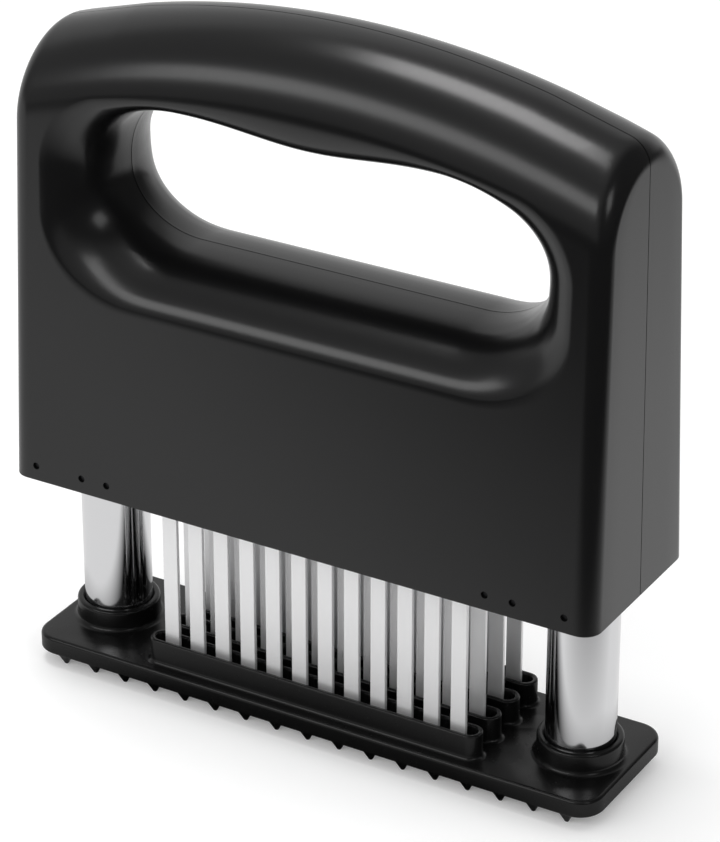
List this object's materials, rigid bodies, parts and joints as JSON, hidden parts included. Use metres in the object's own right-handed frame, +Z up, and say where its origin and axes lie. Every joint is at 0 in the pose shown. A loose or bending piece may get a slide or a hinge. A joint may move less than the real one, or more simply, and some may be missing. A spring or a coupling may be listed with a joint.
{
  "type": "blade meat tenderizer",
  "caption": "Hand-pressed meat tenderizer: a loop-handled housing slides down two sprung steel columns and drives rows of blades through a slotted, toothed guard plate.",
  "frame": {"origin": "centred under the guard plate, level with the tips of its teeth", "axes": "+Z up along the columns, +X to the right seen from the front, the front face looks along -Y"},
  "size_m": [0.15, 0.0456, 0.1685],
  "materials": {
    "housing_plastic": "black, satin moulded",
    "guard_plastic": "black, semi-gloss moulded",
    "inner_plastic": "dark grey, plain moulded",
    "column_steel": "polished tube",
    "blade_steel": "ground stainless sheet",
    "spring_steel": "drawn wire and turned steel",
    "dark_steel": "blackened pins and screws"
  },
  "bodies": {
    "guard": {"guard_plate": "guard_plastic", "column_left": "column_steel", "column_right": "column_steel", "foot_plug_left": "spring_steel", "foot_plug_right": "spring_steel", "column_screw_left": "dark_steel", "column_screw_right": "dark_steel", "stop_ring_left": "spring_steel", "stop_ring_right": "spring_steel", "return_spring_left": "spring_steel", "return_spring_right": "spring_steel"},
    "handle": {"housing_front": "housing_plastic", "housing_rear": "housing_plastic", "guide_block_left": "inner_plastic", "guide_block_right": "inner_plastic", "spring_cap_left": "inner_plastic", "spring_cap_right": "inner_plastic", "blade_carrier": "inner_plastic", "blade_strip_1": "blade_steel", "blade_strip_2": "blade_steel", "blade_strip_3": "blade_steel", "blade_strip_4": "blade_steel", "blade_pin_left": "dark_steel", "blade_pin_right": "dark_steel", "guide_pin_front_left_inner": "dark_steel", "guide_pin_front_left_outer": "dark_steel", "guide_pin_rear_left_inner": "dark_steel", "guide_pin_rear_left_outer": "dark_steel", "guide_pin_front_right_inner": "dark_steel", "guide_pin_front_right_outer": "dark_steel", "guide_pin_rear_right_inner": "dark_steel", "guide_pin_rear_right_outer": "dark_steel"}
  },
  "joints": [
    {"name": "press", "type": "slide", "parent": "guard", "child": "handle", "axis": [0, 0, -1], "range_m": [0, 0.0365], "stiffness_N_per_m": 1400, "springref_m": -0.012, "deforming": ["return_spring_left", "return_spring_right"]}
  ]
}
